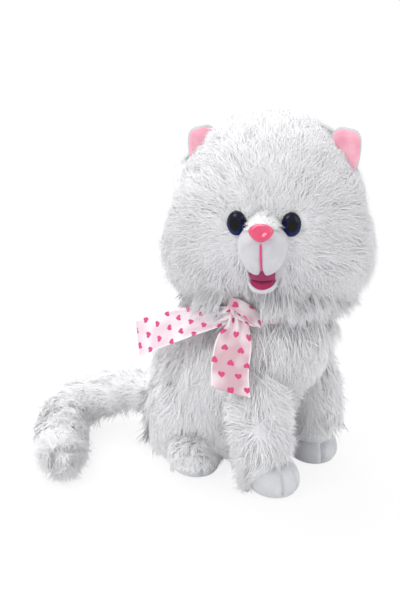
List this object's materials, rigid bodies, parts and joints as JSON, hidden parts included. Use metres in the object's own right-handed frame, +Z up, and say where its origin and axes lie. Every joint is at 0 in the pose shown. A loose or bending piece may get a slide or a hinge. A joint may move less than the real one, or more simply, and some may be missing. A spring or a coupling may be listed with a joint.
{
  "type": "interactive plush pet",
  "caption": "Sitting white long-haired plush cat with a satin ribbon, a motor-driven neck, jaw and tail, a sound unit and a battery flap in its back.",
  "frame": {"origin": "on the plane the toy sits on, mid-width of the body, 26 mm behind the neck axis", "axes": "the body faces -Y, the cat's left side is +X, +Z is up"},
  "size_m": [0.216, 0.2111, 0.2588],
  "materials": {
    "long_pile_fur": "long curly white pile",
    "short_pile_plush": "short white pile",
    "pink_plush": "short pink pile",
    "pink_felt": "pressed felt",
    "satin_ribbon": "pale pink satin with small dark pink hearts",
    "nose_plastic": "glossy moulded",
    "eye_plastic": "glossy clear over dark blue",
    "housing_plastic": "moulded, fine texture",
    "gear_plastic": "natural acetal",
    "button_plastic": "moulded",
    "black_plastic": "moulded",
    "board_laminate": "solder mask",
    "zinc_steel": "zinc plated",
    "motor_steel": "drawn can",
    "cell_jacket": "printed jacket",
    "speaker_paper": "pressed paper",
    "hook_tape": "woven hooks"
  },
  "bodies": {
    "body": {"torso": "long_pile_fur", "hind_leg_left": "long_pile_fur", "hind_leg_right": "long_pile_fur", "front_leg_left": "long_pile_fur", "front_leg_right": "long_pile_fur", "front_paw_left": "short_pile_plush", "front_paw_right": "short_pile_plush", "hind_paw_left": "short_pile_plush", "hind_paw_right": "short_pile_plush", "flap_hook_strip": "hook_tape", "ribbon_band": "satin_ribbon", "ribbon_knot": "satin_ribbon", "ribbon_loop": "satin_ribbon", "ribbon_tail_hanging": "satin_ribbon", "ribbon_tail_trailing": "satin_ribbon", "housing_front": "housing_plastic", "housing_rear": "housing_plastic", "housing_screws": "zinc_steel", "battery_cells": "cell_jacket", "battery_contacts": "zinc_steel", "battery_cover": "housing_plastic", "battery_cover_screw": "zinc_steel", "power_switch_body": "black_plastic", "chest_switch": "black_plastic", "circuit_board": "board_laminate", "speaker": "motor_steel", "speaker_cone": "speaker_paper", "gear_plate": "housing_plastic", "neck_idler_axle": "zinc_steel", "neck_motor": "motor_steel", "neck_bush": "gear_plastic", "tail_motor": "motor_steel"},
    "head_group": {"head": "long_pile_fur", "muzzle": "short_pile_plush", "nose": "nose_plastic", "eyes": "eye_plastic", "eye_washers": "black_plastic", "ear_left": "short_pile_plush", "ear_right": "short_pile_plush", "ear_linings": "pink_plush", "head_shell_front": "housing_plastic", "head_shell_rear": "housing_plastic", "head_shell_screws": "zinc_steel", "mouth_lining": "pink_felt", "jaw_pin": "zinc_steel", "jaw_motor": "motor_steel", "neck_tube": "housing_plastic", "neck_gear": "gear_plastic"},
    "jaw_group": {"jaw_lever": "housing_plastic", "chin": "short_pile_plush", "tongue": "pink_felt"},
    "jaw_pinion_group": {"jaw_motor_pinion": "gear_plastic"},
    "neck_idler_group": {"neck_idler_gear": "gear_plastic"},
    "neck_pinion_group": {"neck_motor_pinion": "gear_plastic"},
    "tail_group": {"tail": "long_pile_fur", "tail_core": "housing_plastic"},
    "tail_pinion_group": {"tail_motor_pinion": "gear_plastic"},
    "flap_group": {"back_flap": "long_pile_fur"},
    "switch_group": {"power_switch_knob": "black_plastic"},
    "button_group": {"chest_button": "button_plastic"}
  },
  "joints": [
    {"name": "neck_turn", "type": "hinge", "parent": "body", "child": "head_group", "pos_m": [0, -0.026, 0.1], "axis": [0, 0, 1], "range_deg": [-5, 95]},
    {"name": "neck_idler_turn", "type": "hinge", "parent": "body", "child": "neck_idler_group", "pos_m": [0.01, -0.00868, 0.085], "axis": [0, 0, 1], "range_deg": [-380, 20]},
    {"name": "neck_pinion_turn", "type": "hinge", "parent": "body", "child": "neck_pinion_group", "pos_m": [0.0004, 0.00412, 0.083], "axis": [0, 0, 1], "range_deg": [-60, 1140]},
    {"name": "jaw_swing", "type": "hinge", "parent": "head_group", "child": "jaw_group", "pos_m": [-0.01838, -0.04438, 0.164], "axis": [0.7071, -0.7071, 0], "range_deg": [-3.5, 8]},
    {"name": "jaw_pinion_turn", "type": "hinge", "parent": "head_group", "child": "jaw_pinion_group", "pos_m": [-0.00707, -0.03307, 0.164], "axis": [0.7071, -0.7071, 0], "range_deg": [-24, 10.5]},
    {"name": "tail_wag", "type": "hinge", "parent": "body", "child": "tail_group", "pos_m": [-0.038, 0.046, 0.02], "axis": [0, 0, 1], "range_deg": [-15, 15]},
    {"name": "tail_pinion_turn", "type": "hinge", "parent": "body", "child": "tail_pinion_group", "pos_m": [-0.01603, 0.01953, 0.013], "axis": [0, 0, 1], "range_deg": [-114, 114]},
    {"name": "flap_open", "type": "hinge", "parent": "body", "child": "flap_group", "pos_m": [0.002, 0.05214, 0.085], "axis": [1, 0, 0], "range_deg": [0, 100]},
    {"name": "power_switch", "type": "slide", "parent": "body", "child": "switch_group", "axis": [1, 0, 0], "range_m": [0, 0.004]},
    {"name": "chest_press", "type": "slide", "parent": "body", "child": "button_group", "axis": [0, 1, 0], "range_m": [0, 0.0012], "stiffness_N_per_m": 400}
  ],
  "couplings": [
    {"joint": "neck_idler_turn", "follows": "neck_turn", "ratio": -4},
    {"joint": "neck_pinion_turn", "follows": "neck_turn", "ratio": 12},
    {"joint": "jaw_pinion_turn", "follows": "jaw_swing", "ratio": -3},
    {"joint": "tail_pinion_turn", "follows": "tail_wag", "ratio": -7.6}
  ]
}
